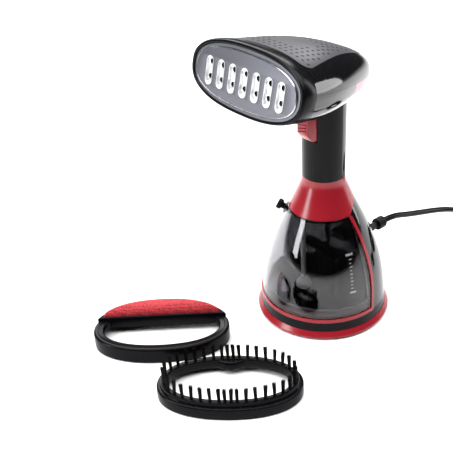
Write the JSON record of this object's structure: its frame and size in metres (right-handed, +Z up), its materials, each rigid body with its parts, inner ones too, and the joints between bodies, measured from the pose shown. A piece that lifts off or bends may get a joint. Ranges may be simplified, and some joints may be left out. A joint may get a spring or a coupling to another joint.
{
  "type": "handheld garment steamer",
  "caption": "Handheld garment steamer with a see-through water tank foot, trigger handle and oval steam head, with cord and plug, a lint brush and a bristle brush.",
  "frame": {"origin": "centre of the flat underside of the foot", "axes": "+Z up along the handle and tank axis; the steam head faces -Y; the cord leaves towards +Y; +X is to the right seen from behind the head"},
  "size_m": [0.2342, 0.4946, 0.2709],
  "materials": {
    "red_gloss": "high gloss red moulded plastic",
    "accent_red": "gloss red moulded plastic",
    "black_gloss": "high gloss black moulded plastic",
    "black_satin": "satin black moulded plastic",
    "black_matte": "matte black moulded plastic",
    "clear_smoked": "clear smoked plastic, polished",
    "rubber_black": "soft black rubber and PVC",
    "silicone_grey": "grey silicone",
    "plate_metal": "satin coated, bright raised rim",
    "cast_metal": "cast",
    "steel": "zinc plated",
    "pin_metal": "nickel plated",
    "inner_plastic": "natural moulded plastic",
    "pad_fabric": "short-pile directional lint fabric"
  },
  "bodies": {
    "steamer": {"base_band": "black_satin", "base_plate": "black_matte", "base_ring": "red_gloss", "base_screws": "steel", "bezel": "black_satin", "boiler": "cast_metal", "bulkhead": "black_matte", "circuit_board": "inner_plastic", "collar": "red_gloss", "cord_bushing": "rubber_black", "cord_coil": "rubber_black", "cord_guard": "black_matte", "cord_tail": "rubber_black", "cord_tie": "rubber_black", "handle_front": "black_satin", "handle_rear": "black_gloss", "handle_screws": "steel", "handle_spine": "black_matte", "head_body": "black_satin", "head_cover": "black_satin", "head_lower": "black_gloss", "head_waist": "black_gloss", "heating_element": "steel", "inner_leads": "rubber_black", "latch_insert": "black_matte", "mains_plug": "rubber_black", "micro_switch": "black_matte", "plate_gasket": "silicone_grey", "plug_pins": "pin_metal", "power_cord": "rubber_black", "pump": "inner_plastic", "pump_spigots": "inner_plastic", "rear_accent": "accent_red", "rear_housing": "black_gloss", "steam_hose": "silicone_grey", "steam_nozzle": "steel", "steam_plate": "plate_metal", "suction_hose": "silicone_grey", "suction_tube": "inner_plastic", "tank_filter": "inner_plastic", "tank_outlet": "inner_plastic", "tank_seal": "rubber_black", "tank_trim": "red_gloss", "tank_valve": "inner_plastic", "terminal_block": "black_matte", "thermal_fuse": "pin_metal", "thermostat": "steel", "trigger_bracket": "black_matte", "trigger_pin": "steel", "trigger_spring": "steel", "water_tank": "clear_smoked", "wiring_loom": "rubber_black"},
    "trigger": {"trigger": "red_gloss"},
    "filler_plug": {"filler_plug": "rubber_black"},
    "lint_brush": {"lint_frame": "black_satin", "lint_pad": "pad_fabric"},
    "bristle_brush": {"bristle_frame": "black_satin", "bristles": "black_satin"}
  },
  "joints": [
    {"name": "trigger_pivot", "type": "hinge", "parent": "steamer", "child": "trigger", "pos_m": [0, -0.0095, 0.199], "axis": [1, 0, 0], "range_deg": [0, 7], "stiffness_Nm_per_rad": 0.25, "springref_deg": -5.73},
    {"name": "filler_plug_pull", "type": "slide", "parent": "steamer", "child": "filler_plug", "axis": [-0.7482, -0.4859, 0.4518], "range_m": [0, 0.02]},
    {"name": "lint_brush_lift", "type": "slide", "parent": "steamer", "child": "lint_brush", "axis": [0, 0, 1], "range_m": [0, 0.1]},
    {"name": "bristle_brush_lift", "type": "slide", "parent": "steamer", "child": "bristle_brush", "axis": [0, 0, 1], "range_m": [0, 0.1]}
  ]
}
